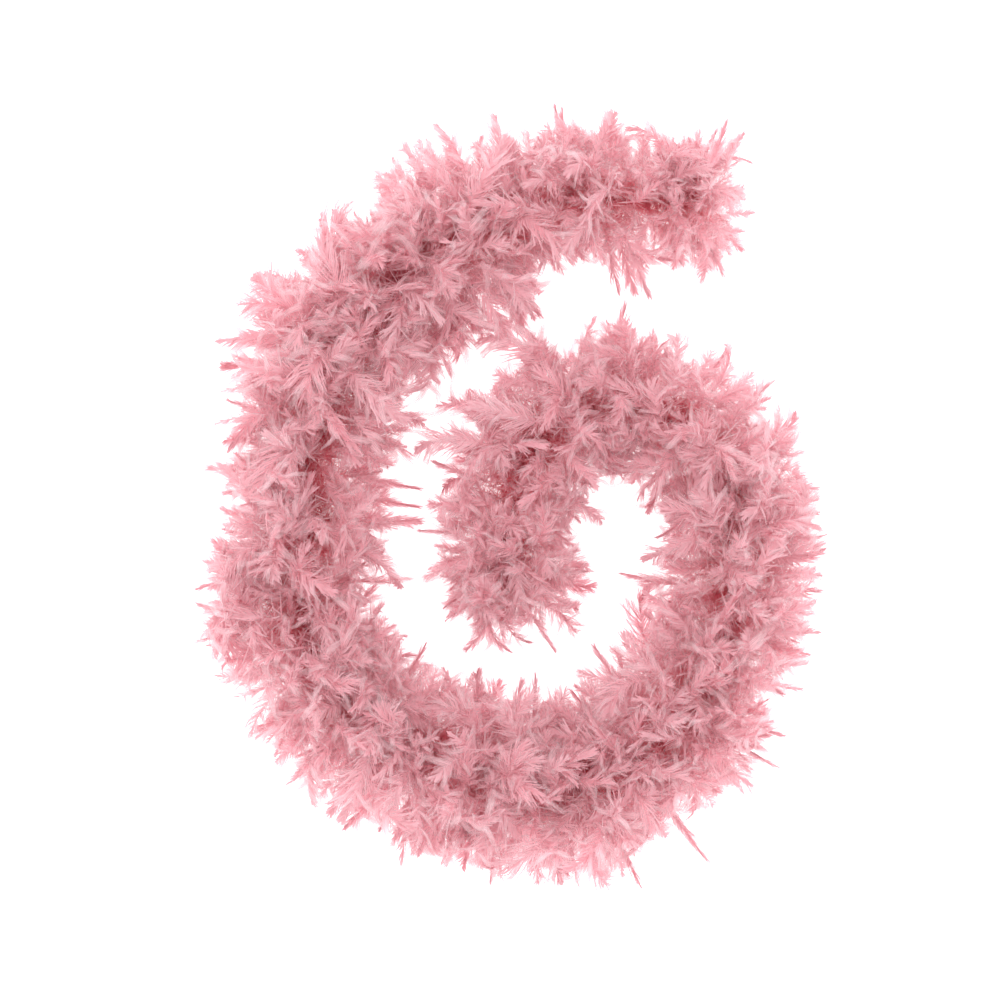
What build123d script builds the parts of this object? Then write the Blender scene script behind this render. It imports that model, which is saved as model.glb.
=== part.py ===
"""A feather boa: one limp cord with feathers bound to it all the way along, laid in a loose spiral.

The boa lies on a table, which is the plane z = 0. Its origin is the middle of its outline on the
table, with +X to the right, +Y to the top of the spiral and +Z up. Millimetres throughout.
"""

import os
from math import cos, pi, radians, sin, tan

from build123d import *

# Driving dimensions of the cord, the thread wound round it and the knots at its ends
CORD_RADIUS = 2.5
THREAD_RADIUS = 3.2
CORD_HEIGHT = 60.0
ARC_SHARE = 0.45
KNOT_RADIUS = 5.5
KNOT_LENGTH = 11.0
KNOT_ROUNDING = 2.4
TAIL_LENGTH = 8.0

# Driving dimensions of the feathers
BUNCHES = 25
FEATHERS_PER_BUNCH = 17
FEATHER_TURN = 137.5
FEATHER_THICKNESS = 0.8
FEATHER_WIDTH = 19.0
WIDEST_SHARE = 0.55
QUILL_WIDTH = 1.6
QUILL_LENGTH = 10.0
BUTT_GAP = 0.4
RAGGEDNESS = 6.0
RAGGED_STEP = 2.4
LEAN = -26.0
LEAN_SPREAD = 6.0
LEAN_STEP = 1.9
END_LEAN = 36.0
TURNING_LENGTH = 130.0

# The cord's route on the table, from the outer end of the spiral to the inner one
ROUTE = [
    (177.0, 286.0),
    (136.0, 289.0),
    (94.0, 284.0),
    (43.0, 282.0),
    (-13.0, 271.0),
    (-63.0, 251.0),
    (-103.0, 217.0),
    (-131.0, 176.0),
    (-166.0, 124.0),
    (-189.0, 74.0),
    (-198.0, 24.0),
    (-197.0, -28.0),
    (-202.0, -78.0),
    (-197.0, -126.0),
    (-179.0, -168.0),
    (-148.0, -202.0),
    (-104.0, -232.0),
    (-53.0, -252.0),
    (-1.0, -268.0),
    (45.0, -272.0),
    (89.0, -262.0),
    (132.0, -231.0),
    (168.0, -188.0),
    (192.0, -144.0),
    (207.0, -98.0),
    (211.0, -47.0),
    (202.0, 7.0),
    (177.0, 54.0),
    (138.0, 83.0),
    (94.0, 90.0),
    (54.0, 80.0),
    (22.0, 53.0),
    (4.0, 12.0),
    (-4.0, -34.0),
    (-2.0, -80.0),
]

# How far the feathers of each bunch reach from the middle of the cord, outer end first
REACHES = [
    68, 70, 71, 71, 75, 78, 76, 73, 76, 81, 75, 71, 78,
    81, 83, 79, 74, 73, 74, 75, 75, 72, 70, 69, 68,
]


def bend_radii(points):
    """The arc at each inner point of a route: it takes up most of half the shorter run beside it."""
    found = []
    for before, point, after in zip(points, points[1:], points[2:]):
        run_in = Vector(*point) - Vector(*before)
        run_out = Vector(*after) - Vector(*point)
        half_turn = radians(run_in.get_angle(run_out)) / 2
        found.append(ARC_SHARE * min(run_in.length, run_out.length) / tan(half_turn))
    return found


def feather_lean(along, count):
    """How many degrees a feather leans along the cord: back to the outer end, but out at the inner end."""
    out = max(0.0, 1.0 - (cord_length - along) / TURNING_LENGTH)
    return LEAN + (END_LEAN - LEAN) * out + LEAN_SPREAD * sin(LEAN_STEP * count)


def feather_plane(along, turn, lean):
    """The plane of one feather: its x axis runs up the quill, and it starts clear of the thread."""
    middle = cord_path.position_at(along, PositionMode.LENGTH)
    forward = cord_path.tangent_at(along, PositionMode.LENGTH)
    up = Vector(0, 0, 1)
    outward = up.cross(forward) * cos(radians(turn)) + up * sin(radians(turn))
    quill = outward * cos(radians(lean)) + forward * sin(radians(lean))
    start = middle + outward * (THREAD_RADIUS + BUTT_GAP)
    return Plane(origin=start, x_dir=quill, z_dir=quill.cross(forward.cross(outward)))


def save(piece, name):
    piece.label = name
    export_step(piece, f"parts/{name}.step")


os.makedirs("parts", exist_ok=True)

route = [(x, y, CORD_HEIGHT) for x, y in ROUTE]
radii = bend_radii(route)
with BuildLine() as cord_line:
    FilletPolyline(*route, radius=radii)
cord_path = cord_line.wires()[0]
cord_length = cord_path.length
cord_start = Plane(origin=cord_path @ 0, z_dir=cord_path % 0)
print("bend radii of the cord:", [round(radius) for radius in radii])

# The cord runs through the whole boa
with BuildPart() as core_cord:
    with BuildSketch(cord_start):
        Circle(CORD_RADIUS)
    sweep(path=cord_path)
save(core_cord.part, "core_cord")
straight_volume = pi * CORD_RADIUS**2 * cord_length
print(f"cord {cord_length:.1f} mm, volume {core_cord.part.volume / straight_volume:.4f} of section x length")

# The binding thread is wound close, so its turns together are a thin sleeve on the cord
with BuildPart() as binding_thread:
    with BuildSketch(cord_start):
        Circle(THREAD_RADIUS)
        Circle(CORD_RADIUS, mode=Mode.SUBTRACT)
    sweep(path=cord_path)
save(binding_thread.part, "binding_thread")

# A stopper knot ends the cord at each end, and the tail of the cord sticks out of it
ends = {
    "end_knot_outer": (cord_path @ 0, -(cord_path % 0)),
    "end_knot_inner": (cord_path @ 1, cord_path % 1),
}
for name, (end, outward) in ends.items():
    with BuildPart() as end_knot:
        with BuildSketch(Plane(origin=end, z_dir=outward)):
            Circle(KNOT_RADIUS)
        extrude(amount=KNOT_LENGTH)
        fillet(end_knot.edges().filter_by(GeomType.CIRCLE), radius=KNOT_ROUNDING)
        with BuildSketch(Plane(origin=end + outward * KNOT_LENGTH, z_dir=outward)):
            Circle(CORD_RADIUS)
        extrude(amount=TAIL_LENGTH)
    save(end_knot.part, name)

# The feathers spiral round the cord; those below it end at the table, where the boa rests on them.
# Each is a narrow quill, then a blade that swells and comes to a point
step = cord_length / (BUNCHES * FEATHERS_PER_BUNCH)
edge = QUILL_WIDTH / 2
half = FEATHER_WIDTH / 2
for number, reach in enumerate(REACHES):
    with BuildPart() as feather_bunch:
        for place in range(FEATHERS_PER_BUNCH):
            count = number * FEATHERS_PER_BUNCH + place
            along = (count + 0.5) * step
            lean = feather_lean(along, count)
            ragged = RAGGEDNESS * sin(RAGGED_STEP * count)
            length = (reach + ragged - THREAD_RADIUS) / cos(radians(lean))
            swell = QUILL_LENGTH + WIDEST_SHARE * (length - QUILL_LENGTH)
            with BuildSketch(feather_plane(along, count * FEATHER_TURN, lean)):
                with BuildLine():
                    Line((0, -edge), (0, edge))
                    Line((0, edge), (QUILL_LENGTH, edge))
                    ThreePointArc((QUILL_LENGTH, edge), (swell, half), (length, 0))
                    ThreePointArc((length, 0), (swell, -half), (QUILL_LENGTH, -edge))
                    Line((QUILL_LENGTH, -edge), (0, -edge))
                make_face()
        extrude(amount=FEATHER_THICKNESS / 2, both=True)
        split(bisect_by=Plane.XY, keep=Keep.TOP)
    save(feather_bunch.part, f"feather_bunch_{number + 1:02d}")
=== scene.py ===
import math

import bmesh
import bpy
import numpy as np
from bpy.props import FloatProperty, FloatVectorProperty, IntProperty, PointerProperty
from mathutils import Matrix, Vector


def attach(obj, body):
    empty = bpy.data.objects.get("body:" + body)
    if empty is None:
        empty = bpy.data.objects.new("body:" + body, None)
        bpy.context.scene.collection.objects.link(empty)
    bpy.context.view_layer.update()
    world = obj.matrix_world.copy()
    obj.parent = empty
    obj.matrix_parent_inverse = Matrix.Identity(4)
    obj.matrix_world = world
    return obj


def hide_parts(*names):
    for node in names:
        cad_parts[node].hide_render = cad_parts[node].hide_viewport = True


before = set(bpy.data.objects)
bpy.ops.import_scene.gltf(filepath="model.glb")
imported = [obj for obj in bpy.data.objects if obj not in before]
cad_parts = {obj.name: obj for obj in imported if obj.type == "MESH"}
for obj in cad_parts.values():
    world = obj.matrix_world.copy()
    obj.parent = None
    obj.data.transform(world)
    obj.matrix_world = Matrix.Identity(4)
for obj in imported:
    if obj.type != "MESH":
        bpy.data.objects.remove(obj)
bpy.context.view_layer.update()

bl_info = {
    "name": "Feather Boa",
    "version": (1, 0, 0),
    "blender": (4, 5, 0),
    "location": "View3D > Sidebar > Boa",
    "description": "Makes a dyed feather boa: its cord, thread, knots and feathers, and a plain stage",
    "category": "Add Mesh",
}

ROOT = "root"
WHITE = (1.0, 1.0, 1.0, 1.0)
UP = np.array([0.0, 0.0, 1.0])

# The cord's route on the table, in metres, from the outer end of the curl to the inner one
ROUTE = [
    (0.177, 0.286),
    (0.136, 0.289),
    (0.094, 0.284),
    (0.043, 0.282),
    (-0.013, 0.271),
    (-0.063, 0.251),
    (-0.103, 0.217),
    (-0.131, 0.176),
    (-0.166, 0.124),
    (-0.189, 0.074),
    (-0.198, 0.024),
    (-0.197, -0.028),
    (-0.202, -0.078),
    (-0.197, -0.126),
    (-0.179, -0.168),
    (-0.148, -0.202),
    (-0.104, -0.232),
    (-0.053, -0.252),
    (-0.001, -0.268),
    (0.045, -0.272),
    (0.089, -0.262),
    (0.132, -0.231),
    (0.168, -0.188),
    (0.192, -0.144),
    (0.207, -0.098),
    (0.211, -0.047),
    (0.202, 0.007),
    (0.177, 0.054),
    (0.138, 0.083),
    (0.094, 0.090),
    (0.054, 0.080),
    (0.022, 0.053),
    (0.004, 0.012),
    (-0.004, -0.034),
    (-0.002, -0.080),
]
CORD_HEIGHT = 0.060

# The room that the boa takes up, feather tips included: its lowest and highest corners
ROOM = ((-0.305, -0.378, 0.0), (0.300, 0.378, 0.160))

# How far the feathers of each bunch stand out from the cord, in metres, outer end first,
# on the outside of the curl and on its inside
OUTER_REACH = [
    0.055, 0.072, 0.067, 0.083, 0.063, 0.116, 0.085, 0.068, 0.079, 0.098, 0.081, 0.083, 0.085,
    0.080, 0.097, 0.073, 0.095, 0.076, 0.080, 0.080, 0.077, 0.067, 0.092, 0.067, 0.071,
]
INNER_REACH = [
    0.070, 0.062, 0.056, 0.106, 0.088, 0.066, 0.081, 0.077, 0.088, 0.050, 0.085, 0.069, 0.081,
    0.092, 0.067, 0.078, 0.084, 0.059, 0.076, 0.058, 0.073, 0.047, 0.070, 0.060, 0.066,
]

# How far the feathers at the two ends stand out past the cord, over how much of the cord they turn to
# lean out that way, at the outer end and the inner one, and how many more of them there are
END_REACH = 0.042
OUTER_TURNING = 0.09
INNER_TURNING = 0.10
END_CROWDING = 1.6

# Single feathers that stand out past the rest. Each has its place along the cord in metres, its turn
# round the cord in degrees from the inner side, its length in metres, its lean along the cord in
# degrees and its breadth next to that of a plain one
STRAYS = [
    (0.005, 176, 0.080, -34, 0.9),
    (0.015, 184, 0.074, -28, 0.9),
    (0.005, 4, 0.082, -20, 0.7),
    (0.020, 356, 0.078, -24, 0.9),
    (0.080, 180, 0.086, 0, 0.9),
    (0.085, 3, 0.102, -20, 0.9),
    (0.088, 358, 0.096, -13, 0.8),
    (0.095, 2, 0.092, -5, 0.9),
    (0.122, 178, 0.100, 4, 0.7),
    (0.128, 184, 0.098, -3, 0.6),
    (0.190, 5, 0.098, 5, 0.9),
    (0.200, 2, 0.113, 0, 1.0),
    (0.206, 8, 0.106, -4, 1.0),
    (0.215, 0, 0.110, -9, 0.9),
    (0.226, 5, 0.100, -12, 0.9),
    (0.225, 175, 0.086, -15, 0.6),
    (0.240, 180, 0.099, 0, 0.6),
    (0.252, 183, 0.088, 6, 0.7),
    (0.302, 180, 0.093, 0, 0.9),
    (0.470, 180, 0.088, 0, 0.7),
    (0.516, 180, 0.098, 0, 0.7),
    (0.510, 0, 0.112, 3, 0.45),
    (0.530, 2, 0.112, 6, 0.45),
    (0.566, 0, 0.113, -8, 0.6),
    (0.620, 2, 0.104, 0, 0.5),
    (0.655, 180, 0.112, 0, 0.6),
    (0.666, 183, 0.100, -8, 0.9),
    (0.719, 180, 0.090, 0, 0.7),
    (0.775, 0, 0.090, 0, 0.8),
    (0.788, 180, 0.101, 0, 0.9),
    (0.838, 180, 0.112, 0, 0.6),
    (0.879, 180, 0.099, 0, 0.5),
    (0.900, 0, 0.096, 2, 0.6),
    (0.911, 180, 0.104, 0, 0.7),
    (0.930, 2, 0.102, 0, 0.7),
    (0.967, 180, 0.101, 0, 0.6),
    (0.998, 180, 0.117, 0, 0.6),
    (1.030, 0, 0.086, 0, 0.8),
    (1.036, 180, 0.127, 0, 0.5),
    (1.070, 2, 0.105, 5, 0.5),
    (1.079, 180, 0.092, 0, 0.8),
    (1.106, 180, 0.112, 0, 0.5),
    (1.160, 180, 0.080, 0, 0.9),
    (1.222, 0, 0.108, 0, 0.5),
    (1.228, 180, 0.087, 0, 0.9),
    (1.261, 180, 0.080, 0, 0.8),
    (1.290, 180, 0.086, 0, 0.8),
    (1.371, 180, 0.097, 0, 0.6),
    (1.402, 180, 0.092, 0, 0.8),
    (1.438, 180, 0.078, 0, 0.9),
    (1.475, 181, 0.104, -27, 0.7),
    (1.554, 180, 0.096, 0, 0.6),
    (1.593, 180, 0.087, 0, 0.7),
    (1.636, 180, 0.089, 0, 0.6),
    (1.670, 178, 0.074, 25, 0.9),
    (1.675, 0, 0.080, 0, 0.5),
    (1.682, 150, 0.080, 62, 0.8),
    (1.682, 30, 0.080, 62, 0.8),
]


# ---------------------------------------------------------------- sizes and colours to change

class BoaCordSettings(bpy.types.PropertyGroup):
    """Sizes and colours of the cord, the thread wound on it and its end knots."""

    diameter: FloatProperty(
        name="Cord diameter", description="Thickness of the laid cord", default=0.005,
        min=0.002, max=0.012, unit="LENGTH")
    strands: IntProperty(
        name="Strands", description="How many strands the cord is laid from", default=3, min=2, max=4)
    strand_lay: FloatProperty(
        name="Lay", description="Length of cord in which a strand goes once round", default=0.018,
        min=0.008, max=0.05, unit="LENGTH")
    thread_diameter: FloatProperty(
        name="Thread diameter", description="Thickness of the binding thread", default=0.0007,
        min=0.0002, max=0.002, unit="LENGTH")
    thread_pitch: FloatProperty(
        name="Thread pitch", description="Distance from one turn of the thread to the next",
        default=0.0022, min=0.001, max=0.01, unit="LENGTH")
    cord_colour: FloatVectorProperty(
        name="Cord colour", description="Dyed cotton of the cord", default=(0.50, 0.13, 0.17, 1.0),
        size=4, min=0.0, max=1.0, subtype="COLOR")
    thread_colour: FloatVectorProperty(
        name="Thread colour", description="Dyed binding thread", default=(0.58, 0.18, 0.22, 1.0),
        size=4, min=0.0, max=1.0, subtype="COLOR")


class BoaFeatherSettings(bpy.types.PropertyGroup):
    """Number, sizes and colours of the feathers."""

    per_bunch: IntProperty(
        name="Feathers per bunch", description="How many feathers are tied to each stretch of cord",
        default=104, min=10, max=160)
    kinds: IntProperty(
        name="Kinds", description="How many different feathers are modelled and then copied",
        default=40, min=4, max=60)
    length: FloatProperty(
        name="Feather length", description="From butt to tip along the shaft", default=0.092,
        min=0.04, max=0.16, unit="LENGTH")
    vane_width: FloatProperty(
        name="Vane width", description="Across the widest part of the vane", default=0.025,
        min=0.008, max=0.05, unit="LENGTH")
    down_barbs: IntProperty(
        name="Down barbs", description="Soft barbs on each feather", default=40, min=0, max=140)
    vane_colour: FloatVectorProperty(
        name="Vane colour", description="Dyed colour of the vanes", default=(0.98, 0.58, 0.64, 1.0),
        size=4, min=0.0, max=1.0, subtype="COLOR")
    tip_colour: FloatVectorProperty(
        name="Tip colour", description="Paler colour where the dye is thin, at edges and tips",
        default=(0.98, 0.81, 0.84, 1.0), size=4, min=0.0, max=1.0, subtype="COLOR")
    # The root colour is partly deeper dye near the cord and partly painted shade between the feathers'
    # roots.
    root_dye_and_shade_colour: FloatVectorProperty(
        name="Root colour", description="Deeper colour close to the cord",
        default=(0.86, 0.14, 0.20, 1.0), size=4, min=0.0, max=1.0, subtype="COLOR")
    shaft_colour: FloatVectorProperty(
        name="Shaft colour", description="Pale shafts", default=(0.96, 0.62, 0.66, 1.0),
        size=4, min=0.0, max=1.0, subtype="COLOR")


class BoaStageSettings(bpy.types.PropertyGroup):
    """The floor, the lights and the camera."""

    camera_height: FloatProperty(
        name="Camera height", description="How far above the table the camera hangs", default=4.0,
        min=1.0, max=10.0, unit="LENGTH")
    view_width: FloatProperty(
        name="View width", description="Width that the camera takes in at the boa's middle height",
        default=0.95, min=0.2, max=3.0, unit="LENGTH")
    key_power: FloatProperty(
        name="Key light", description="Power of the large soft light", default=34.0, min=0.0,
        max=900.0, unit="POWER")
    sky: FloatProperty(
        name="Sky", description="Brightness of the even white light all round", default=1.02,
        min=0.0, max=5.0)
    floor_colour: FloatVectorProperty(
        name="Floor colour", description="Plain pale floor", default=(0.8, 0.8, 0.8, 1.0), size=4,
        min=0.0, max=1.0, subtype="COLOR")
    floor_glow: FloatProperty(
        name="Floor glow", description="Light that the lit-up table gives by itself", default=0.9,
        min=0.0, max=5.0)


# ---------------------------------------------------------------- small helpers

def deselect_all():
    bpy.ops.object.select_all(action="DESELECT")


def take(obj):
    """Makes obj the only selected object and the active one."""
    deselect_all()
    obj.select_set(True)
    bpy.context.view_layer.objects.active = obj


def wear(obj, *materials):
    """Gives obj these materials, in this order, in place of any it has."""
    obj.data.materials.clear()
    for material in materials:
        obj.data.materials.append(material)


def turned(vectors, axis, angle):
    """Vectors turned about a unit axis by an angle in radians."""
    c, s = math.cos(angle), math.sin(angle)
    along = np.outer(vectors @ axis, axis)
    return vectors * c + np.cross(axis, vectors) * s + along * (1 - c)


# ---------------------------------------------------------------- the line that everything follows

class Line:
    """The cord's middle line, read from its NURBS spline, with its direction at any distance along it."""

    def __init__(self):
        curve = bpy.data.curves.new("cord_line", "CURVE")
        curve.dimensions = "3D"
        curve.resolution_u = 14
        spline = curve.splines.new("NURBS")
        spline.points.add(len(ROUTE) - 1)
        for point, (x, y) in zip(spline.points, ROUTE):
            point.co = (x, y, CORD_HEIGHT, 1.0)
        spline.order_u = 3
        spline.use_endpoint_u = True
        carrier = bpy.data.objects.new("cord_line", curve)
        mesh = bpy.data.meshes.new_from_object(carrier)
        self.points = np.array([v.co for v in mesh.vertices], float)
        bpy.data.meshes.remove(mesh)
        bpy.data.objects.remove(carrier)
        bpy.data.curves.remove(curve)
        steps = np.linalg.norm(np.diff(self.points, axis=0), axis=1)
        self.along = np.concatenate([[0.0], np.cumsum(steps)])
        self.length = float(self.along[-1])

    def at(self, distance):
        """The point that far along the line. Below 0 or past its length it runs straight on."""
        inside = np.clip(distance, 0.0, self.length)
        point = np.stack([np.interp(inside, self.along, self.points[:, k]) for k in range(3)], axis=-1)
        beyond = np.asarray(distance) - inside
        return point + np.multiply.outer(beyond, np.ones(3)) * self.forward(inside)

    def forward(self, distance):
        """The unit direction of the line there."""
        reach = 0.004
        low = np.clip(np.asarray(distance) - reach, 0.0, self.length - 2 * reach)
        high = low + 2 * reach
        a = np.stack([np.interp(low, self.along, self.points[:, k]) for k in range(3)], axis=-1)
        b = np.stack([np.interp(high, self.along, self.points[:, k]) for k in range(3)], axis=-1)
        d = b - a
        return d / np.linalg.norm(d, axis=-1, keepdims=True)


# ---------------------------------------------------------------- materials

def new_material(name):
    """An empty node material with its output, and the two things needed to fill it."""
    material = bpy.data.materials.new(name)
    material.use_nodes = True
    tree = material.node_tree
    tree.nodes.clear()
    output = tree.nodes.new("ShaderNodeOutputMaterial")
    return material, tree, output


def mix_colours(tree, factor, first, second, blend="MIX"):
    """A colour mix; factor, first and second are sockets or values."""
    node = tree.nodes.new("ShaderNodeMix")
    node.data_type = "RGBA"
    node.blend_type = blend
    for index, value in ((0, factor), (6, first), (7, second)):
        if isinstance(value, bpy.types.NodeSocket):
            tree.links.new(value, node.inputs[index])
        else:
            node.inputs[index].default_value = value
    return node.outputs[2]


def ramp_of(tree, value, low, high):
    """value, stretched so that low becomes 0 and high becomes 1, and held between them."""
    node = tree.nodes.new("ShaderNodeMapRange")
    node.interpolation_type = "SMOOTHSTEP"
    node.inputs["From Min"].default_value = low
    node.inputs["From Max"].default_value = high
    tree.links.new(value, node.inputs["Value"])
    return node.outputs["Result"]


def attribute_of(tree, name):
    node = tree.nodes.new("ShaderNodeAttribute")
    node.attribute_type = "GEOMETRY"
    node.attribute_name = name
    return node.outputs["Fac"]


def maths(tree, operation, first, second):
    """The result of one sum; second may be a socket or a value."""
    node = tree.nodes.new("ShaderNodeMath")
    node.operation = operation
    tree.links.new(first, node.inputs[0])
    if isinstance(second, bpy.types.NodeSocket):
        tree.links.new(second, node.inputs[1])
    else:
        node.inputs[1].default_value = second
    return node.outputs[0]


def across_and_along(tree):
    """Where a point is across its strip and along it, each from 0 to 1."""
    uv = tree.nodes.new("ShaderNodeUVMap")
    uv.uv_map = "vane"
    split = tree.nodes.new("ShaderNodeSeparateXYZ")
    tree.links.new(uv.outputs["UV"], split.inputs["Vector"])
    return split.outputs["X"], split.outputs["Y"]


def barb_pattern(tree, across, along):
    """Fine uneven streaks over the barbs, from the piece's own UV map."""
    uv = tree.nodes.new("ShaderNodeUVMap")
    uv.uv_map = "vane"
    mapping = tree.nodes.new("ShaderNodeMapping")
    mapping.inputs["Scale"].default_value = (across, along, 1.0)
    tree.links.new(uv.outputs["UV"], mapping.inputs["Vector"])
    noise = tree.nodes.new("ShaderNodeTexNoise")
    noise.noise_dimensions = "2D"
    noise.inputs["Scale"].default_value = 1.0
    noise.inputs["Detail"].default_value = 2.0
    noise.inputs["Roughness"].default_value = 0.6
    tree.links.new(mapping.outputs["Vector"], noise.inputs["Vector"])
    return noise.outputs["Fac"]


def feather_shader(tree, output, colour, rough, sheen, through_share, bump=None):
    """A soft matt surface that lets some light through, as a thin vane or down does. Returns its shader."""
    front = tree.nodes.new("ShaderNodeBsdfPrincipled")
    front.inputs["Sheen Weight"].default_value = sheen
    front.inputs["Sheen Roughness"].default_value = 0.45
    front.inputs["Specular IOR Level"].default_value = 0.25
    tree.links.new(colour, front.inputs["Base Color"])
    if isinstance(rough, bpy.types.NodeSocket):
        tree.links.new(rough, front.inputs["Roughness"])
    else:
        front.inputs["Roughness"].default_value = rough
    back = tree.nodes.new("ShaderNodeBsdfTranslucent")
    tree.links.new(colour, back.inputs["Color"])
    if bump is not None:
        tree.links.new(bump, front.inputs["Normal"])
    both = tree.nodes.new("ShaderNodeMixShader")
    both.inputs["Fac"].default_value = through_share
    tree.links.new(front.outputs["BSDF"], both.inputs[1])
    tree.links.new(back.outputs["BSDF"], both.inputs[2])
    tree.links.new(both.outputs["Shader"], output.inputs["Surface"])
    return both.outputs["Shader"]


def dye_and_root_shade_colour(tree, settings, edge):
    """Deep rose near the cord, partly deeper dye and partly painted shade between the feathers, rose over
    the vane, pale where edge is high, and a little different from one feather to the next."""
    depth = attribute_of(tree, "depth")
    tint = attribute_of(tree, "tint")
    rose = mix_colours(tree, edge, settings.vane_colour, settings.tip_colour)
    lighter = mix_colours(tree, 0.55, rose, settings.tip_colour)
    own = mix_colours(tree, tint, rose, lighter)
    # Painted shade, partly deeper dye: close to the cord the colour goes over to the root colour.
    near = ramp_of(tree, depth, 0.05, 0.60)
    return mix_colours(tree, near, settings.root_dye_and_shade_colour, own)


def vane_material(settings):
    """Dyed webby vane: fine barb lines, pale edges, light coming through."""
    material, tree, output = new_material("dyed_vane")
    lines = barb_pattern(tree, 3.0, 6.0)
    across, _ = across_and_along(tree)
    side = maths(tree, "ABSOLUTE", maths(tree, "SUBTRACT", across, 0.5), 0.0)
    colour = dye_and_root_shade_colour(tree, settings, ramp_of(tree, side, 0.22, 0.52))
    streak = mix_colours(tree, ramp_of(tree, lines, 0.30, 0.72), (0.92, 0.80, 0.82, 1.0), WHITE)
    colour = mix_colours(tree, 1.0, colour, streak, "MULTIPLY")
    bump = tree.nodes.new("ShaderNodeBump")
    bump.inputs["Strength"].default_value = 0.35
    bump.inputs["Distance"].default_value = 0.0004
    tree.links.new(lines, bump.inputs["Height"])
    rough = tree.nodes.new("ShaderNodeMapRange")
    rough.inputs["To Min"].default_value = 0.5
    rough.inputs["To Max"].default_value = 0.8
    tree.links.new(lines, rough.inputs["Value"])
    feather_shader(tree, output, colour, rough.outputs["Result"], 0.25, 0.46, bump.outputs["Normal"])
    return material


def down_material(settings):
    """Soft down: paler towards the ends of its barbs, and nearly all light goes on through it."""
    material, tree, output = new_material("dyed_down")
    _, along = across_and_along(tree)
    colour = dye_and_root_shade_colour(tree, settings, ramp_of(tree, along, 0.1, 0.9))
    feather_shader(tree, output, colour, 0.8, 0.35, 0.5)
    return material


def haze_material(settings):
    """The finest down: pale, streaked along its barbs, and thinning out to nothing at its sides and end."""
    material, tree, output = new_material("dyed_haze")
    lines = barb_pattern(tree, 16.0, 2.0)
    across, along = across_and_along(tree)
    colour = dye_and_root_shade_colour(tree, settings, ramp_of(tree, along, 0.0, 0.8))
    soft = feather_shader(tree, output, colour, 0.9, 0.3, 0.5)
    side = maths(tree, "PINGPONG", across, 0.5)
    end = tree.nodes.new("ShaderNodeMapRange")
    end.inputs["From Min"].default_value = 0.35
    end.inputs["From Max"].default_value = 1.0
    end.inputs["To Min"].default_value = 1.0
    end.inputs["To Max"].default_value = 0.0
    tree.links.new(along, end.inputs["Value"])
    cover = maths(tree, "MULTIPLY", ramp_of(tree, side, 0.0, 0.28), ramp_of(tree, lines, 0.22, 0.62))
    cover = maths(tree, "MULTIPLY", cover, end.outputs["Result"])
    clear = tree.nodes.new("ShaderNodeBsdfTransparent")
    veil = tree.nodes.new("ShaderNodeMixShader")
    tree.links.new(cover, veil.inputs["Fac"])
    tree.links.new(clear.outputs["BSDF"], veil.inputs[1])
    tree.links.new(soft, veil.inputs[2])
    tree.links.new(veil.outputs["Shader"], output.inputs["Surface"])
    return material


def shaft_material(settings):
    """Pale horny shaft with a soft gloss, deep rose near the cord, partly dye and partly painted shade."""
    material, tree, output = new_material("pale_shaft")
    depth = attribute_of(tree, "depth")
    # Painted shade, partly deeper dye: the shaft turns to the root colour close to the cord.
    near = ramp_of(tree, depth, 0.25, 0.7)
    colour = mix_colours(tree, near, settings.root_dye_and_shade_colour, settings.shaft_colour)
    lines = barb_pattern(tree, 3.0, 20.0)
    streak = mix_colours(tree, lines, (0.88, 0.84, 0.84, 1.0), WHITE)
    colour = mix_colours(tree, 1.0, colour, streak, "MULTIPLY")
    front = tree.nodes.new("ShaderNodeBsdfPrincipled")
    front.inputs["Roughness"].default_value = 0.38
    tree.links.new(colour, front.inputs["Base Color"])
    tree.links.new(front.outputs["BSDF"], output.inputs["Surface"])
    return material


def yarn_material(name, colour, scale):
    """Dyed cotton: fine fibres along the yarn, from its UV map, with a soft sheen."""
    material, tree, output = new_material(name)
    uv = tree.nodes.new("ShaderNodeUVMap")
    uv.uv_map = "yarn"
    mapping = tree.nodes.new("ShaderNodeMapping")
    mapping.inputs["Scale"].default_value = scale
    tree.links.new(uv.outputs["UV"], mapping.inputs["Vector"])
    noise = tree.nodes.new("ShaderNodeTexNoise")
    noise.inputs["Scale"].default_value = 1.0
    noise.inputs["Detail"].default_value = 4.0
    tree.links.new(mapping.outputs["Vector"], noise.inputs["Vector"])
    dark = [0.55 * c for c in colour[:3]] + [1.0]
    shade = mix_colours(tree, ramp_of(tree, noise.outputs["Fac"], 0.3, 0.7), dark, colour)
    bump = tree.nodes.new("ShaderNodeBump")
    bump.inputs["Strength"].default_value = 0.6
    bump.inputs["Distance"].default_value = 0.0003
    tree.links.new(noise.outputs["Fac"], bump.inputs["Height"])
    front = tree.nodes.new("ShaderNodeBsdfPrincipled")
    front.inputs["Roughness"].default_value = 0.85
    front.inputs["Sheen Weight"].default_value = 0.4
    tree.links.new(shade, front.inputs["Base Color"])
    tree.links.new(bump.outputs["Normal"], front.inputs["Normal"])
    tree.links.new(front.outputs["BSDF"], output.inputs["Surface"])
    return material


# ---------------------------------------------------------------- the cord, the thread and the knots

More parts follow.
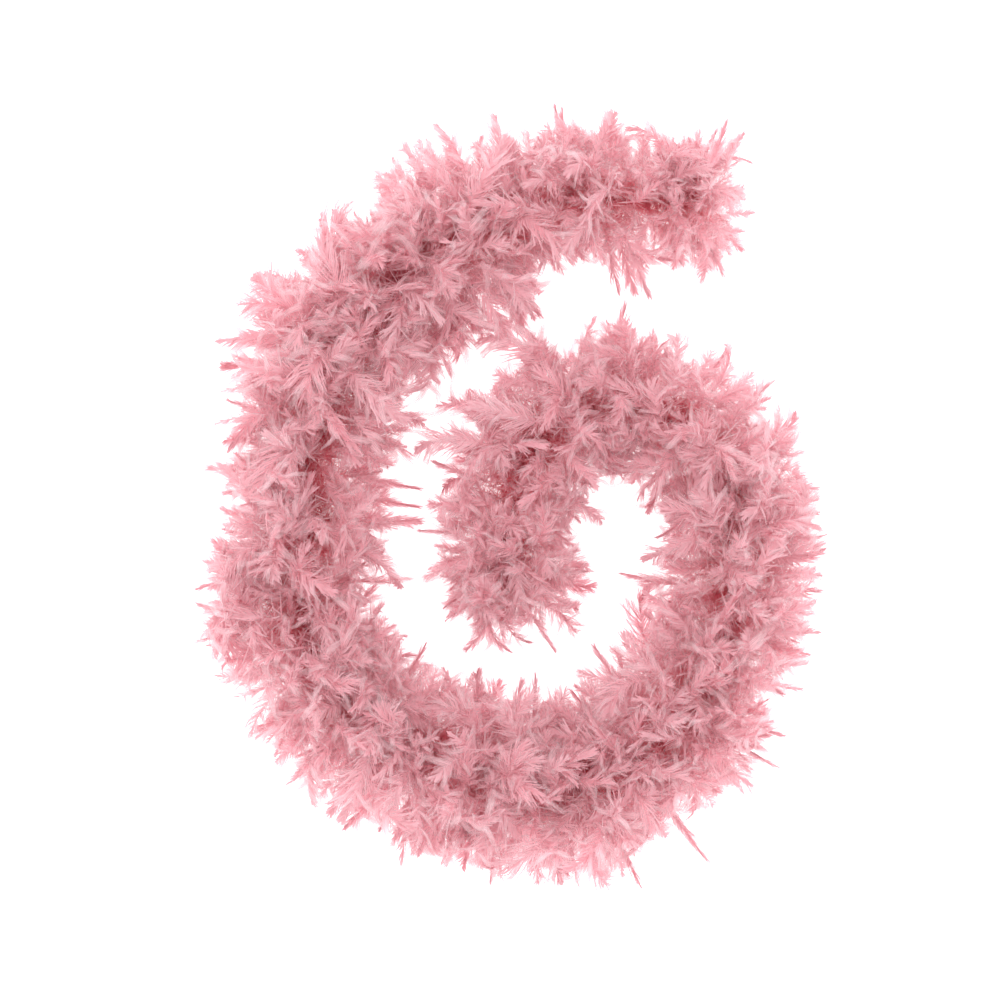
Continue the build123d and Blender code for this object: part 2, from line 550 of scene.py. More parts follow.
def tube(name, paths, radius, sides):
    """One mesh of round closed tubes, one along each path, with UV along and round each tube."""
    points, faces, uvs = [], [], []
    turns = np.arange(sides) * 2 * math.pi / sides
    for path in paths:
        start = len(points)
        ahead = np.gradient(path, axis=0)
        ahead /= np.linalg.norm(ahead, axis=1, keepdims=True)
        side = np.cross(ahead, UP)
        small = np.linalg.norm(side, axis=1) < 1e-6
        side[small] = (1.0, 0.0, 0.0)
        side /= np.linalg.norm(side, axis=1, keepdims=True)
        over = np.cross(side, ahead)
        for k, centre in enumerate(path):
            taper = 0.6 if k in (0, len(path) - 1) else 1.0
            for turn in turns:
                away = side[k] * math.cos(turn) + over[k] * math.sin(turn)
                points.append(centre + taper * radius * away)
        steps = np.concatenate([[0], np.cumsum(np.linalg.norm(np.diff(path, axis=0), axis=1))])
        for k in range(len(path) - 1):
            for j in range(sides):
                n = (j + 1) % sides
                a, b = start + k * sides, start + (k + 1) * sides
                faces.append((a + j, a + n, b + n, b + j))
                left, right = j / sides, (j + 1) / sides
                low, high = steps[k], steps[k + 1]
                uvs.append(((left, low), (right, low), (right, high), (left, high)))
        last = start + (len(path) - 1) * sides
        faces.append(tuple(start + j for j in reversed(range(sides))))
        uvs.append(tuple((0.5, 0.0) for _ in range(sides)))
        faces.append(tuple(last + j for j in range(sides)))
        uvs.append(tuple((0.5, steps[-1]) for _ in range(sides)))
    mesh = bpy.data.meshes.new(name)
    mesh.from_pydata([tuple(p) for p in points], [], faces)
    layer = mesh.uv_layers.new(name="yarn")
    layer.data.foreach_set("uv", np.array([c for face in uvs for uv in face for c in uv], np.float32))
    mesh.polygons.foreach_set("use_smooth", np.ones(len(mesh.polygons), bool))
    obj = bpy.data.objects.new(name, mesh)
    bpy.context.scene.collection.objects.link(obj)
    take(obj)
    bpy.ops.object.mode_set(mode="EDIT")
    bpy.ops.mesh.select_all(action="SELECT")
    bpy.ops.mesh.normals_make_consistent(inside=False)
    bpy.ops.object.mode_set(mode="OBJECT")
    return obj


def wound(line, low, high, step, offset, lay, start):
    """A path wound round the line at a distance from it, once in every lay."""
    distance = np.linspace(low, high, max(2, math.ceil((high - low) / step)))
    centre = line.at(distance)
    forward = line.forward(distance)
    side = np.cross(UP, forward)
    turn = 2 * math.pi * distance / lay + start
    return centre + offset * (side * np.cos(turn)[:, None] + UP * np.sin(turn)[:, None])


class BOA_OT_cord(bpy.types.Operator):
    """Lays the limp core cord from its strands, at its real length"""

    bl_idname = "boa.cord"
    bl_label = "Core cord"

    def execute(self, context):
        settings = context.scene.boa_cord
        line = Line()
        strand_radius = settings.diameter / 2 / (1 + 1 / math.sin(math.pi / settings.strands))
        offset = settings.diameter / 2 - strand_radius
        starts = [2 * math.pi * k / settings.strands for k in range(settings.strands)]
        paths = [
            wound(line, 0.0, line.length, settings.strand_lay / 8, offset, settings.strand_lay, start)
            for start in starts
        ]
        cord = tube("core_cord_strands", paths, strand_radius, 6)
        wear(cord, yarn_material("dyed_cord", tuple(settings.cord_colour), (6.0, 900.0, 1.0)))
        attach(cord, ROOT)
        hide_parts("core_cord")
        return {"FINISHED"}


class BOA_OT_thread(bpy.types.Operator):
    """Winds the binding thread round the cord and the feathers' butts"""

    bl_idname = "boa.thread"
    bl_label = "Binding thread"

    def execute(self, context):
        settings = context.scene.boa_cord
        line = Line()
        offset = (settings.diameter + settings.thread_diameter) / 2
        pitch = settings.thread_pitch
        path = wound(line, 0.001, line.length - 0.001, pitch / 8, offset, pitch, 0.0)
        thread = tube("binding_thread_turns", [path], settings.thread_diameter / 2, 4)
        wear(thread, yarn_material("dyed_thread", tuple(settings.thread_colour), (4.0, 2500.0, 1.0)))
        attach(thread, ROOT)
        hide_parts("binding_thread")
        return {"FINISHED"}


KNOT_STEPS = 64
KNOT_SIDES = 8


def knot_path(end, outward, radius, length):
    """An overhand stopper knot: the line of a trefoil, pulled long, then the tail."""
    side = np.cross(UP, outward)
    turns = np.linspace(0.0, 2 * math.pi, KNOT_STEPS)
    round_x = np.sin(turns) + 2 * np.sin(2 * turns)
    round_y = np.cos(turns) - 2 * np.cos(2 * turns)
    depth = -np.sin(3 * turns)
    middle = end + outward * length / 2
    spread = radius / 3.0
    return (middle + np.outer(round_x, side) * spread + np.outer(round_y, UP) * spread
            + np.outer(depth, outward) * length / 3.2)


class BOA_OT_knots(bpy.types.Operator):
    """Ties a stopper knot with a frayed tail at each end of the cord"""

    bl_idname = "boa.knots"
    bl_label = "End knots"

    def execute(self, context):
        settings = context.scene.boa_cord
        line = Line()
        material = yarn_material("dyed_knot", tuple(settings.cord_colour), (6.0, 900.0, 1.0))
        rng = np.random.default_rng(5)
        for name, node, place, way in (
            ("outer_end_knot", "end_knot_outer", 0.0, -1.0),
            ("inner_end_knot", "end_knot_inner", line.length, 1.0),
        ):
            end = line.at(place)
            outward = way * line.forward(place)
            length = 0.011
            paths = [knot_path(end, outward, 0.0036, length)]
            side = np.cross(UP, outward)
            for strand in range(9):
                turn = strand * 2.4
                spread = 0.0004 * math.sqrt(strand + 0.5)
                sideways = side * math.cos(turn) + UP * math.sin(turn)
                splay = rng.uniform(0.5, 2.2)
                share = np.linspace(0.0, 1.0, 6)[:, None]
                paths.append(end + outward * (length * 0.7 + 0.010 * share)
                             + sideways * spread * (1 + splay * share**2))
            knot = tube(name, paths, 0.0017, KNOT_SIDES)
            thin = np.array([v.co for v in knot.data.vertices], float)
            frayed = slice(KNOT_STEPS * KNOT_SIDES, None)
            centres = np.repeat(np.concatenate(paths[1:]), KNOT_SIDES, axis=0)
            thin[frayed] = centres + (thin[frayed] - centres) * 0.28
            knot.data.vertices.foreach_set("co", thin.astype(np.float32).ravel())
            knot.data.update()
            wear(knot, material)
            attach(knot, ROOT)
            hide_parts(node)
        tuple(line.at(0.0))
        [tuple(p) for p in line.points]
        return {"FINISHED"}


# ---------------------------------------------------------------- feathers

SHAFT_SIDES = 3
SHAFT_SEGMENTS = 6
VANE_SEGMENTS = 2
DOWN_SEGMENTS = 3
HAZE_SEGMENTS = 2
STRAY_KINDS = 6
STRAIGHT_BELOW = 0.95


class Strips:
    """Narrow flat strips, cut from one grid. Each is a barb or a lock of barbs once it is shaped."""

    def __init__(self, count, segments):
        bpy.ops.mesh.primitive_grid_add(x_subdivisions=count, y_subdivisions=segments, size=2)
        self.obj = bpy.context.object
        self.count = count
        bpy.ops.object.mode_set(mode="EDIT")
        bpy.ops.mesh.select_mode(type="EDGE")
        bpy.ops.mesh.select_all(action="DESELECT")
        grid = bmesh.from_edit_mesh(self.obj.data)
        for edge in grid.edges:
            a, b = (vert.co.x for vert in edge.verts)
            edge.select = abs(a - b) < 1e-6
        bmesh.update_edit_mesh(self.obj.data)
        bpy.ops.mesh.edge_split(type="EDGE")
        bpy.ops.object.mode_set(mode="OBJECT")
        mesh = self.obj.data
        flat = np.array([vert.co for vert in mesh.vertices], float)
        self.number = np.zeros(len(flat), int)
        for polygon in mesh.polygons:
            self.number[list(polygon.vertices)] = int((polygon.center.x + 1) / 2 * count)
        middle = (self.number + 0.5) / count * 2 - 1
        self.edge = np.sign(flat[:, 0] - middle)
        self.along = (flat[:, 1] + 1) / 2
        layer = mesh.uv_layers[0]
        layer.name = "vane"
        for loop in mesh.loops:
            vertex = loop.vertex_index
            layer.data[loop.index].uv = ((self.edge[vertex] + 1) / 2, self.along[vertex])

    def shape(self, root, side, around, length, angle, curl, wave, width, taper, twist, tint):
        """Shapes every strip from its own values: where on the shaft it starts, its side, its turn round
        the shaft, its length, its angle to the shaft there and how that changes, how far it waves, its
        width, how much it narrows, and how its face turns."""
        n, s = self.number, self.along
        root, side, around, length = root[n], side[n], around[n], length[n]
        angle, curl = angle[n], curl[n] + 1e-3
        here = angle + curl * s
        away = length * (np.cos(angle) - np.cos(here)) / curl
        up = root + length * (np.sin(here) - np.sin(angle)) / curl
        out = np.stack([side * np.cos(around), np.sin(around), np.zeros(len(n))], axis=1)
        shaft = np.array([0.0, 0.0, 1.0])
        normal = np.cos(here)[:, None] * out - np.sin(here)[:, None] * shaft
        face = np.stack([-side * np.sin(around), np.cos(around), np.zeros(len(n))], axis=1)
        turn = twist[0][n] + twist[1][n] * s
        across = normal * np.cos(turn)[:, None] + face * np.sin(turn)[:, None]
        swing = wave[0][n] * np.sin(wave[1][n] * s) * length
        half = self.edge * width[n] / 2 * (1 - taper[n] * s)
        points = out * away[:, None] + shaft * up[:, None] + face * swing[:, None] + across * half[:, None]
        self.obj.data.vertices.foreach_set("co", points.astype(np.float32).ravel())
        own = self.obj.data.attributes.new("tint", "FLOAT", "POINT")
        own.data.foreach_set("value", tint[n].astype(np.float32))


def add_vane(rng, length, width, foot, count, spread, barb_width):
    """The web of the feather's upper part: barbs that keep together in groups, and part between them."""
    strips = Strips(count, VANE_SEGMENTS)
    place = (np.arange(count) // 2 + rng.uniform(0.2, 0.8, count)) / (count / 2)
    side = np.where(np.arange(count) % 2, 1.0, -1.0)
    group = np.floor(np.arange(count) // 2 / rng.uniform(3.5, 7.5)).astype(int) + np.where(side > 0, 50, 0)
    sway = rng.normal(0.0, 0.14, 120)
    lift = rng.normal(0.0, 0.32, 120)
    cup = rng.uniform(0.0, 0.8) * rng.choice([1, 1, -1])
    profile = np.sin(np.pi * np.clip(0.25 + 0.75 * place, 0, 1)) ** 0.7 * 0.75 + 0.25
    strips.shape(
        root=foot + (length * 0.97 - foot) * place**0.9,
        side=side,
        around=cup + lift[group] * 0.5 + rng.normal(0.0, 0.05, count),
        length=width / 2 / math.sin(math.radians(spread)) * profile * rng.uniform(0.75, 1.12, count),
        angle=np.radians(spread - 22 * place) + rng.normal(0.0, 0.05, count),
        curl=-0.35 + sway[group] * 2.0 + rng.normal(0.0, 0.14, count),
        wave=(rng.normal(0.0, 0.04, count) + lift[group] * 0.25, np.full(count, 2.4)),
        width=barb_width * rng.uniform(0.7, 1.2, count),
        taper=rng.uniform(0.4, 0.8, count),
        twist=(rng.normal(0.0, 0.3, count), rng.normal(0.0, 0.4, count)),
        tint=np.clip(rng.normal(0.0, 0.12, count) + 0.6 * sway[group], -0.5, 0.5),
    )
    return strips.obj


def add_down(rng, count, barb, low, high):
    """Soft barbs from the foot of the shaft upwards: fine, long, wavy and loose."""
    strips = Strips(count, DOWN_SEGMENTS)
    place = (np.arange(count) + rng.uniform(0, 1, count)) / count
    strips.shape(
        root=low + (high - low) * place,
        side=rng.choice([-1.0, 1.0], count),
        around=rng.normal(0.0, 0.75, count),
        length=barb * (1.05 - 0.35 * place) * rng.uniform(0.55, 1.15, count),
        angle=rng.uniform(0.75, 1.35, count) - 0.45 * place,
        curl=rng.normal(-0.15, 0.75, count),
        wave=(rng.normal(0.0, 0.10, count), rng.uniform(3.0, 7.0, count)),
        width=rng.uniform(0.00030, 0.00055, count),
        taper=np.full(count, 0.75),
        twist=(rng.uniform(0, 3.14, count), rng.normal(0.0, 1.2, count)),
        tint=rng.normal(0.0, 0.16, count),
    )
    return strips.obj


def add_fluff(rng, count, low, high):
    """The thick fluff at the very foot, which fills the boa's middle: short, broad and plain."""
    strips = Strips(count, 1)
    strips.shape(
        root=rng.uniform(low, high, count),
        side=rng.choice([-1.0, 1.0], count),
        around=rng.uniform(-1.5, 1.5, count),
        length=rng.uniform(0.012, 0.022, count),
        angle=rng.uniform(0.5, 1.5, count),
        curl=rng.normal(0.0, 0.3, count),
        wave=(np.zeros(count), np.zeros(count)),
        width=rng.uniform(0.0012, 0.0020, count),
        taper=np.full(count, 0.8),
        twist=(rng.uniform(0, 3.14, count), rng.normal(0.0, 0.6, count)),
        tint=rng.normal(-0.1, 0.16, count),
    )
    return strips.obj


def add_haze(rng, count, barb, low, high):
    """Locks of the finest down, too fine to tell apart: broad soft strips that can be half seen through."""
    strips = Strips(count, HAZE_SEGMENTS)
    place = (np.arange(count) + rng.uniform(0, 1, count)) / count
    strips.shape(
        root=low + (high - low) * place,
        side=np.where(np.arange(count) % 2, 1.0, -1.0),
        around=rng.normal(0.0, 0.45, count),
        length=barb * rng.uniform(0.8, 1.15, count),
        angle=rng.uniform(0.6, 1.1, count),
        curl=rng.normal(-0.1, 0.5, count),
        wave=(rng.normal(0.0, 0.06, count), rng.uniform(2.0, 4.0, count)),
        width=rng.uniform(0.0055, 0.0085, count),
        taper=np.full(count, 0.35),
        twist=(rng.normal(1.2, 0.5, count), rng.normal(0.0, 0.5, count)),
        tint=rng.normal(0.15, 0.12, count),
    )
    return strips.obj


def add_shaft(length, radius):
    """A slender shaft: a ring drawn out and narrowed, step by step."""
    bpy.ops.mesh.primitive_circle_add(vertices=SHAFT_SIDES, radius=radius, location=(0, 0, 0))
    shaft = bpy.context.object
    bpy.ops.object.mode_set(mode="EDIT")
    bpy.ops.mesh.select_mode(type="VERT")
    bpy.ops.mesh.select_all(action="SELECT")
    step = length / SHAFT_SEGMENTS
    for segment in range(SHAFT_SEGMENTS):
        bpy.ops.mesh.extrude_region_move(TRANSFORM_OT_translate={"value": (0, 0, step)})
        bpy.ops.transform.resize(value=(0.78, 0.78, 1.0), center_override=(0, 0, 0))
    bpy.ops.mesh.merge(type="CENTER")
    bpy.ops.object.mode_set(mode="OBJECT")
    layer = shaft.data.uv_layers[0] if shaft.data.uv_layers else shaft.data.uv_layers.new(name="vane")
    layer.name = "vane"
    for loop in shaft.data.loops:
        spot = shaft.data.vertices[loop.vertex_index].co
        layer.data[loop.index].uv = (0.5 + 0.3 * spot.x / radius, spot.z / length)
    shaft.data.attributes.new("tint", "FLOAT", "POINT")
    return shaft


def curl_feather(points, length, bend, power, twist, sway):
    """Bends a straight feather forward, more towards its tip, and twists it about its shaft."""
    share = points[:, 2] / length
    angle = twist * share
    x = points[:, 0] * np.cos(angle) - points[:, 1] * np.sin(angle)
    y = points[:, 0] * np.sin(angle) + points[:, 1] * np.cos(angle)
    steps = np.linspace(-0.3, 1.5, 181)
    turn = bend * np.clip(steps, 0, None) ** power
    half_turn = (turn[1:] + turn[:-1]) / 2
    rise = np.concatenate([[0], np.cumsum(np.cos(half_turn) * np.diff(steps))])
    lean = np.concatenate([[0], np.cumsum(np.sin(half_turn) * np.diff(steps))])
    here = bend * np.clip(share, 0, None) ** power
    spine_z = (np.interp(share, steps, rise) - np.interp(0, steps, rise)) * length
    spine_y = (np.interp(share, steps, lean) - np.interp(0, steps, lean)) * length
    side = sway * length * np.clip(share, 0, None) ** 2
    return np.stack([x + side, spine_y + y * np.cos(here), spine_z - y * np.sin(here)], axis=1)


def feather_kind(number, settings):
    """Models one kind of feather: shaft, vane and down joined, then curled. Returns its mesh.
    Kinds are leafy and downy in turn, and go from nearly straight to well curled."""
    rng = np.random.default_rng(1000 + number)
    leafy = number % 2 == 0
    length = settings.length * rng.uniform(0.88, 1.1)
    barbs = settings.down_barbs
    deselect_all()
    if leafy:
        foot = length * rng.uniform(0.44, 0.58)
        width = settings.vane_width * rng.uniform(0.55, 1.1)
        vane = add_vane(rng, length, width, foot, 84, rng.uniform(36, 50), rng.uniform(0.0008, 0.0011))
        down = add_down(rng, barbs, rng.uniform(0.019, 0.025), 0.003, foot + 0.014)
    else:
        foot = length * rng.uniform(0.44, 0.56)
        width = settings.vane_width * rng.uniform(1.0, 1.4)
        vane = add_vane(rng, length, width, foot, 66, rng.uniform(44, 60), rng.uniform(0.0007, 0.0010))
        down = add_down(rng, int(1.3 * barbs), rng.uniform(0.021, 0.028), 0.003, length * 0.92)
    fluff = add_fluff(rng, 20, 0.0, length * 0.45)
    haze = add_haze(rng, 7, 0.022, length * 0.45, length * 0.88)
    shaft = add_shaft(length * 0.96, rng.choice([0.0005, 0.0007, 0.0010]))
    low, high = ((0.1, 0.5), (0.4, 0.9), (0.8, 1.4), (1.4, 2.2))[number // 2 % 4]
    return joined(vane, down, fluff, shaft, haze, length, rng.uniform(low, high), rng)


def stray_kind(number, settings):
    """Models one kind of the feathers that stand out alone: nearly straight, and closely webbed to its
    tip. Returns its mesh."""
    rng = np.random.default_rng(3000 + number)
    length = settings.length
    deselect_all()
    width = settings.vane_width * rng.uniform(0.85, 1.15)
    vane = add_vane(rng, length, width, length * 0.42, 110, rng.uniform(36, 44), 0.0013)
    down = add_down(rng, 30, 0.018, 0.003, length * 0.6)
    fluff = add_fluff(rng, 20, 0.0, length * 0.45)
    haze = add_haze(rng, 6, 0.016, length * 0.35, length * 0.75)
    shaft = add_shaft(length * 0.96, 0.0009)
    return joined(vane, down, fluff, shaft, haze, length, rng.uniform(0.1, 0.6), rng)


def joined(vane, down, fluff, shaft, haze, length, bend, rng):
    """Joins the pieces of a feather, notes which material each face wears, and curls it all."""
    pieces = (vane, down, fluff, shaft, haze)
    for slot_number, piece in zip((0, 1, 1, 2, 3), pieces):
        part = piece.data.attributes.new("part", "INT", "FACE")
        part.data.foreach_set("value", np.full(len(piece.data.polygons), slot_number, np.int32))
    deselect_all()
    for piece in pieces:
        piece.select_set(True)
    bpy.context.view_layer.objects.active = vane
    bpy.ops.object.join()
    mesh = vane.data
    points = np.array([v.co for v in mesh.vertices], float)
    power, twist, sway = rng.uniform(1.0, 2.2), rng.uniform(-1.0, 1.0), rng.uniform(-0.12, 0.12)
    points = curl_feather(points, length, bend, power, twist, sway)
    mesh.vertices.foreach_set("co", points.astype(np.float32).ravel())
    mesh["bend"] = bend
    bpy.data.objects.remove(vane)
    return mesh


class Kind:
    """A modelled feather as plain arrays, ready to be copied. Its reach is how far it stands out, and
    its bend is how much it curls, in radians."""

    def __init__(self, mesh):
        self.points = np.array([v.co for v in mesh.vertices], float)
        self.corners = np.array([loop.vertex_index for loop in mesh.loops], np.int32)
        self.sizes = np.array([polygon.loop_total for polygon in mesh.polygons], np.int32)
        self.slots = np.array([value.value for value in mesh.attributes["part"].data], np.int32)
        self.tint = np.array([value.value for value in mesh.attributes["tint"].data], float)
        uv = np.zeros(len(mesh.loops) * 2, np.float32)
        mesh.uv_layers["vane"].data.foreach_get("uv", uv)
        self.uv = uv.reshape(-1, 2)
        self.reach = float(np.percentile(self.points[:, 2], 98))
        self.bend = mesh["bend"]
        bpy.data.meshes.remove(mesh)


class Heap:
    """Copies of feathers gathered into one mesh."""

    def __init__(self):
        self.parts = {key: [] for key in ("points", "corners", "sizes", "slots", "uv", "tint", "depth")}
        self.count = 0

    def add(self, kind, points, tint, depth):
        self.parts["points"].append(points)
        self.parts["corners"].append(kind.corners + self.count)
        self.parts["sizes"].append(kind.sizes)
        self.parts["slots"].append(kind.slots)
        self.parts["uv"].append(kind.uv)
        self.parts["tint"].append(np.clip(tint + kind.tint, 0, 1))
        self.parts["depth"].append(depth)
        self.count += len(points)

    def mesh(self, name, materials):
        whole = {key: np.concatenate(value) for key, value in self.parts.items()}
        mesh = bpy.data.meshes.new(name)
        mesh.vertices.add(len(whole["points"]))
        mesh.vertices.foreach_set("co", whole["points"].astype(np.float32).ravel())
        mesh.loops.add(len(whole["corners"]))
        mesh.loops.foreach_set("vertex_index", whole["corners"].astype(np.int32))
        mesh.polygons.add(len(whole["sizes"]))
        starts = np.concatenate([[0], np.cumsum(whole["sizes"])[:-1]]).astype(np.int32)
        mesh.polygons.foreach_set("loop_start", starts)
        mesh.update(calc_edges=True)
        mesh.validate()
        for material in materials:
            mesh.materials.append(material)
        mesh.polygons.foreach_set("material_index", whole["slots"])
        mesh.polygons.foreach_set("use_smooth", np.ones(len(whole["sizes"]), bool))
        layer = mesh.uv_layers.new(name="vane")
        layer.data.foreach_set("uv", whole["uv"].ravel())
        for key in ("tint", "depth"):
            attribute = mesh.attributes.new(key, "FLOAT", "POINT")
            attribute.data.foreach_set("value", whole[key].astype(np.float32))
        return mesh


def settle(points):
    """Nothing goes through the table: what would is pressed flat just above it, as soft feathers are."""
    soft = 0.016
    low = points[:, 2] < soft
    points[low, 2] = soft * np.exp((points[low, 2] - soft) / soft)
    return points


def kept_in(points, root):
    """A feather that would stick out past the room the boa takes up is made that much smaller."""
    away = points - root
    scale = 1.0
    for axis in range(3):
        low, high = ROOM[0][axis] - root[axis], ROOM[1][axis] - root[axis]
        furthest = away[:, axis].max()
        if furthest > high:
            scale = min(scale, high / furthest)
        nearest = away[:, axis].min()
        if axis < 2 and nearest < low:
            scale = min(scale, low / nearest)
    return root + away * scale


def reach_at(share, turn):
    """How far feathers stand out there: share is 0 to 1 along the boa, turn is 0 on its inner side."""
    places = (np.arange(len(OUTER_REACH)) + 0.5) / len(OUTER_REACH)
    outer = np.interp(share, places, OUTER_REACH)
    inner = np.interp(share, places, INNER_REACH)
    mix = (1 + math.cos(turn)) / 2
    return inner * mix + outer * (1 - mix)


def place_feather(kind, line, distance, turn, lean, roll, reach, broad=1.0):
    """The points of one feather tied to the cord there. turn goes round the cord from its inner side,
    lean tips the feather along the cord, roll turns it about its own shaft."""
    middle = line.at(distance)
    forward = line.forward(distance)
    side = np.cross(UP, forward)
    outward = side * math.cos(turn) + UP * math.sin(turn)
    shaft = outward * math.cos(lean) + forward * math.sin(lean)
    across = np.cross(outward, forward)
    across = turned(across[None], shaft, roll)[0]
    front = np.cross(shaft, across)
    local = kind.points * (reach - 0.003) / kind.reach
    root = middle + outward * 0.003
    points = root + np.outer(local[:, 0] * broad, across) + np.outer(local[:, 1], front)
    points = points + np.outer(local[:, 2], shaft)
    return settle(kept_in(points, root))


def drooping_roll(turn):
    """The roll that makes a feather at that turn bend towards the table and show its face upwards."""
    return -math.copysign(math.pi / 2, math.cos(turn))


def grown_feathers(number, last, amount, line, straight, curly, rng, count):
    """The feathers of one bunch, as the values that place_feather takes. Feathers at the sides are
    mostly straight and lie flat, those on top are curled and fall every way, and those at the two ends
    of the boa lean out over the knot."""
    golden_turn = math.pi * (3 - math.sqrt(5))
    stretch = line.length / (last + 1)
    for place in range(amount):
        part = (place + rng.uniform(0, 1)) / amount
        if number == 0:
            part = part**1.4
        if number == last:
            part = 1 - (1 - part) ** 1.4
        distance = (number + part) * stretch
        turn = (count + place) * golden_turn + rng.normal(0, 0.25)
        turn += 0.25 * math.sin(turn) + 0.30 * math.cos(turn)
        to_start = max(0.0, 1 - distance / OUTER_TURNING)
        to_end = max(0.0, 1 - (line.length - distance) / INNER_TURNING)
        lean = rng.normal(-0.10, 0.38) * (1 - to_start) * (1 - to_end)
        lean += rng.uniform(-1.2, 0.1) * to_start + rng.uniform(-0.1, 1.2) * to_end
        reach = reach_at(distance / line.length, turn)
        reach *= rng.choice([0.78, 0.95, 1.06, 1.15], p=[0.2, 0.35, 0.35, 0.10])
        reach *= rng.uniform(0.93, 1.05) * (1 - 0.12 * abs(math.sin(lean)) ** 3)
        to_tip = distance if lean < 0 else line.length - distance
        reach = min(reach, (to_tip + END_REACH * rng.uniform(0.8, 1.1)) / max(abs(math.sin(lean)), 0.01))
        on_top = math.sin(turn) > 0.45
        choice = curly if rng.uniform() < (0.85 if on_top else 0.25) else straight
        kind = choice[int(rng.integers(len(choice)))]
        if on_top:
            roll = rng.uniform(0, 2 * math.pi)
        else:
            roll = drooping_roll(turn) + rng.normal(0, 0.55) + (math.pi if rng.uniform() < 0.3 else 0.0)
        breadth = rng.uniform(0.85, 1.2) if on_top else rng.uniform(0.95, 1.4)
        yield kind, distance, turn, lean, roll, reach, breadth


class BOA_OT_feathers(bpy.types.Operator):
    """Models the kinds of feathers and ties copies of them along the cord, bunch by bunch"""

    bl_idname = "boa.feathers"
    bl_label = "Feathers"

    def execute(self, context):
        settings = context.scene.boa_feathers
        line = Line()
        kinds = [Kind(feather_kind(number, settings)) for number in range(settings.kinds)]
        straight = [kind for kind in kinds if kind.bend < STRAIGHT_BELOW]
        curly = [kind for kind in kinds if kind.bend >= STRAIGHT_BELOW]
        stray_kinds = [Kind(stray_kind(number, settings)) for number in range(STRAY_KINDS)]
        materials = [vane_material(settings), down_material(settings), shaft_material(settings)]
        materials.append(haze_material(settings))
        nodes = sorted(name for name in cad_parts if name.startswith("feather_bunch_"))
        stretch = line.length / len(nodes)
        rng = np.random.default_rng(77)
        count = 0
        for number, node in enumerate(nodes):
            heap = Heap()
            near_steps = np.linspace((number - 2) * stretch, (number + 3) * stretch, 60)
            near = line.at(np.clip(near_steps, 0, line.length))
            at_end = number in (0, len(nodes) - 1)
            amount = int(settings.per_bunch * (END_CROWDING if at_end else 1.0))
            tied = list(grown_feathers(number, len(nodes) - 1, amount, line, straight, curly, rng, count))
            count += amount
            for distance, turn, reach, lean, breadth in STRAYS:
                if min(int(distance / stretch), len(nodes) - 1) == number:
                    kind = stray_kinds[int(rng.integers(len(stray_kinds)))]
                    turn = math.radians(turn)
                    roll = drooping_roll(turn) + rng.normal(0, 0.25)
                    tied.append((kind, distance, turn, math.radians(lean), roll, reach, breadth))
            for kind, distance, turn, lean, roll, reach, breadth in tied:
                points = place_feather(kind, line, distance, turn, lean, roll, reach, breadth)
                # depth runs from 0 at the cord to 1 at the feathers' reach; where it is low, the materials
                # paint shade along with deeper dye.
                gap = np.linalg.norm(points[:, None, :] - near[None, :, :], axis=2).min(axis=1)
                depth = np.clip(gap / reach_at(distance / line.length, turn), 0, 1.3)
                heap.add(kind, points, float(np.clip(rng.normal(0.5, 0.25), 0, 1)), depth)
            name = f"feathers_{number + 1:02d}"
            piece = bpy.data.objects.new(name, heap.mesh(name, materials))
            context.scene.collection.objects.link(piece)
            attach(piece, ROOT)
            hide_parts(node)
        return {"FINISHED"}


# ---------------------------------------------------------------- the stage

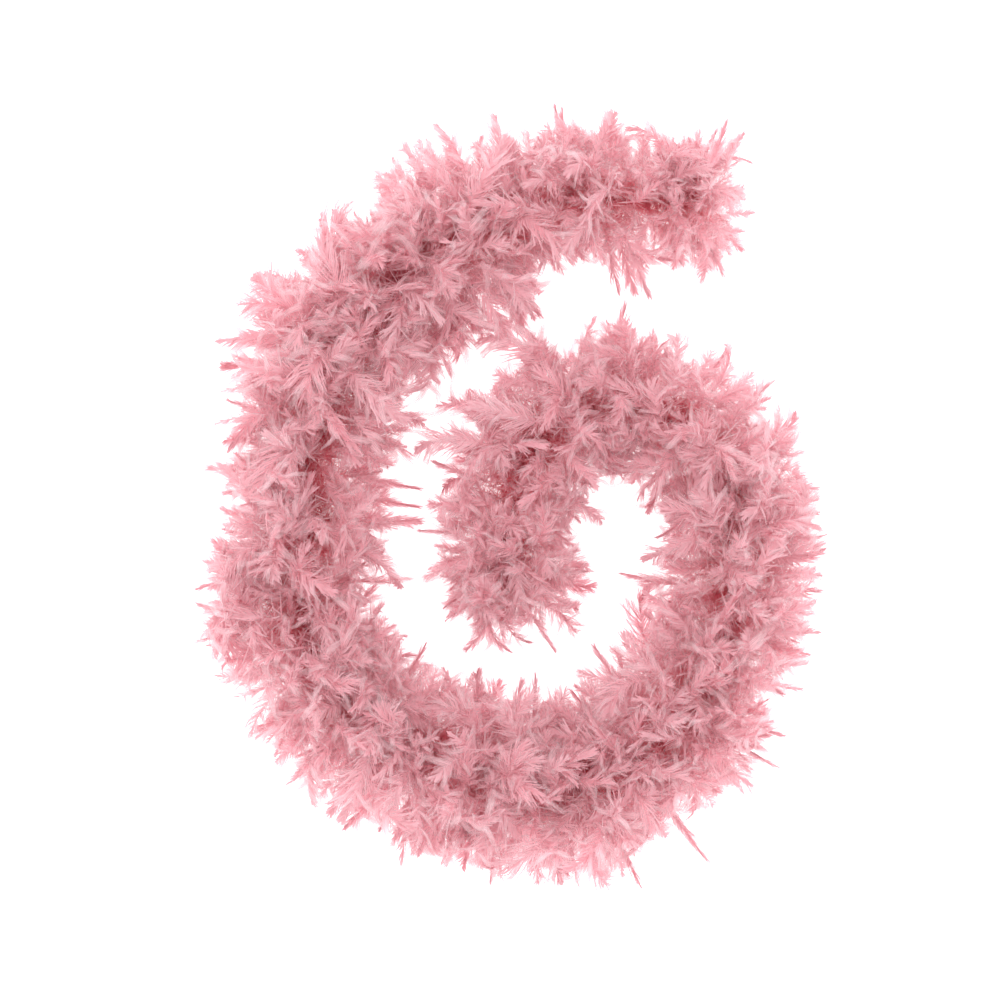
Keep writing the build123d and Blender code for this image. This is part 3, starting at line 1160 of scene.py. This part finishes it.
class BOA_OT_stage(bpy.types.Operator):
    """Sets up the plain pale floor, the soft light and the camera above the boa"""

    bl_idname = "boa.stage"
    bl_label = "Stage"

    def execute(self, context):
        settings = context.scene.boa_stage
        scene = context.scene
        scene.view_settings.view_transform = "Standard"
        scene.view_settings.look = "None"
        deselect_all()
        bpy.ops.mesh.primitive_plane_add(size=30.0, location=(0, 0, 0))
        floor = context.object
        floor.name = "floor"
        material, tree, output = new_material("pale_floor")
        matt = tree.nodes.new("ShaderNodeBsdfDiffuse")
        matt.inputs["Color"].default_value = settings.floor_colour
        glow = tree.nodes.new("ShaderNodeEmission")
        glow.inputs["Strength"].default_value = settings.floor_glow
        both = tree.nodes.new("ShaderNodeAddShader")
        tree.links.new(matt.outputs[0], both.inputs[0])
        tree.links.new(glow.outputs[0], both.inputs[1])
        tree.links.new(both.outputs[0], output.inputs["Surface"])
        wear(floor, material)

        world = bpy.data.worlds.new("white_room")
        world.use_nodes = True
        back = world.node_tree.nodes["Background"]
        back.inputs["Color"].default_value = WHITE
        back.inputs["Strength"].default_value = settings.sky
        scene.world = world

        bpy.ops.object.light_add(type="AREA", location=(-0.7, 0.8, 3.2))
        key = context.object
        key.name = "key_light"
        key.data.shape = "DISK"
        key.data.size = 1.8
        key.data.energy = settings.key_power
        key.rotation_euler = (Vector((0, 0, 0)) - key.location).to_track_quat("-Z", "Y").to_euler()

        centre = (-0.0125, -0.0014)
        spot = (centre[0], centre[1], settings.camera_height)
        bpy.ops.object.camera_add(location=spot, rotation=(0, 0, 0))
        camera = context.object
        camera.name = "camera_above"
        camera.data.sensor_width = 36.0
        camera.data.lens = 36.0 * (settings.camera_height - CORD_HEIGHT) / settings.view_width
        camera.data.clip_end = 100.0
        scene.camera = camera
        return {"FINISHED"}


class BOA_PT_panel(bpy.types.Panel):
    """Lists the boa's pieces and their sizes in the sidebar"""

    bl_idname = "BOA_PT_panel"
    bl_label = "Feather Boa"
    bl_space_type = "VIEW_3D"
    bl_region_type = "UI"
    bl_category = "Boa"

    def draw(self, context):
        layout = self.layout
        for title, settings, operators in (
            ("Stage", context.scene.boa_stage, ("boa.stage",)),
            ("Cord", context.scene.boa_cord, ("boa.cord", "boa.thread", "boa.knots")),
            ("Feathers", context.scene.boa_feathers, ("boa.feathers",)),
        ):
            box = layout.box()
            box.label(text=title)
            for name in settings.__annotations__:
                box.prop(settings, name)
            for operator in operators:
                box.operator(operator)


CLASSES = (
    BoaCordSettings,
    BoaFeatherSettings,
    BoaStageSettings,
    BOA_OT_stage,
    BOA_OT_cord,
    BOA_OT_thread,
    BOA_OT_knots,
    BOA_OT_feathers,
    BOA_PT_panel,
)


def register():
    for cls in CLASSES:
        bpy.utils.register_class(cls)
    bpy.types.Scene.boa_cord = PointerProperty(type=BoaCordSettings)
    bpy.types.Scene.boa_feathers = PointerProperty(type=BoaFeatherSettings)
    bpy.types.Scene.boa_stage = PointerProperty(type=BoaStageSettings)


def unregister():
    del bpy.types.Scene.boa_stage
    del bpy.types.Scene.boa_feathers
    del bpy.types.Scene.boa_cord
    for cls in reversed(CLASSES):
        bpy.utils.unregister_class(cls)


def main():
    register()
    bpy.ops.boa.stage()
    bpy.ops.boa.cord()
    bpy.ops.boa.thread()
    bpy.ops.boa.knots()
    bpy.ops.boa.feathers()


if __name__ == "__main__":
    main()
